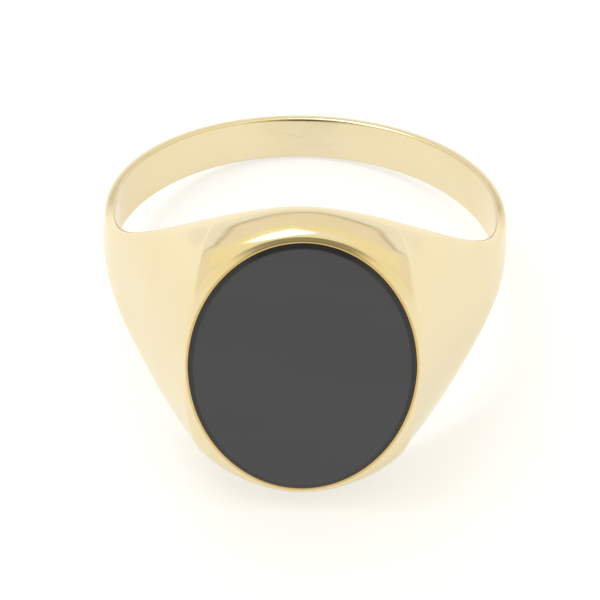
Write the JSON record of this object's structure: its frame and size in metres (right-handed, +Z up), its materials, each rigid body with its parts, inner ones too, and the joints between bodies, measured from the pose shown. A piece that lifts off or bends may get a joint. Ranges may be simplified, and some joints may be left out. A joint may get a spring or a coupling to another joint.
{
  "type": "signet ring",
  "caption": "Signet ring with an oval head, swept shoulders and a slim band, set with a flat oval black stone with a narrow bevel.",
  "frame": {"origin": "centre of the finger bore, on its axis and halfway along the head", "axes": "+Z up from the surface that the ring lies on; +X across the ring; the head and its stone face -Y and tilt up by the lie angle of 17.84 degrees; the finger bore's axis lies in the YZ plane, the same angle off +Z"},
  "size_m": [0.02, 0.0237, 0.0148],
  "materials": {
    "gold": "polished yellow gold",
    "onyx": "polished black onyx",
    "cement": "cured jeweller's cement"
  },
  "bodies": {
    "root": {"ring_body": "gold", "stone": "onyx", "cement_bed": "cement"}
  },
  "joints": []
}
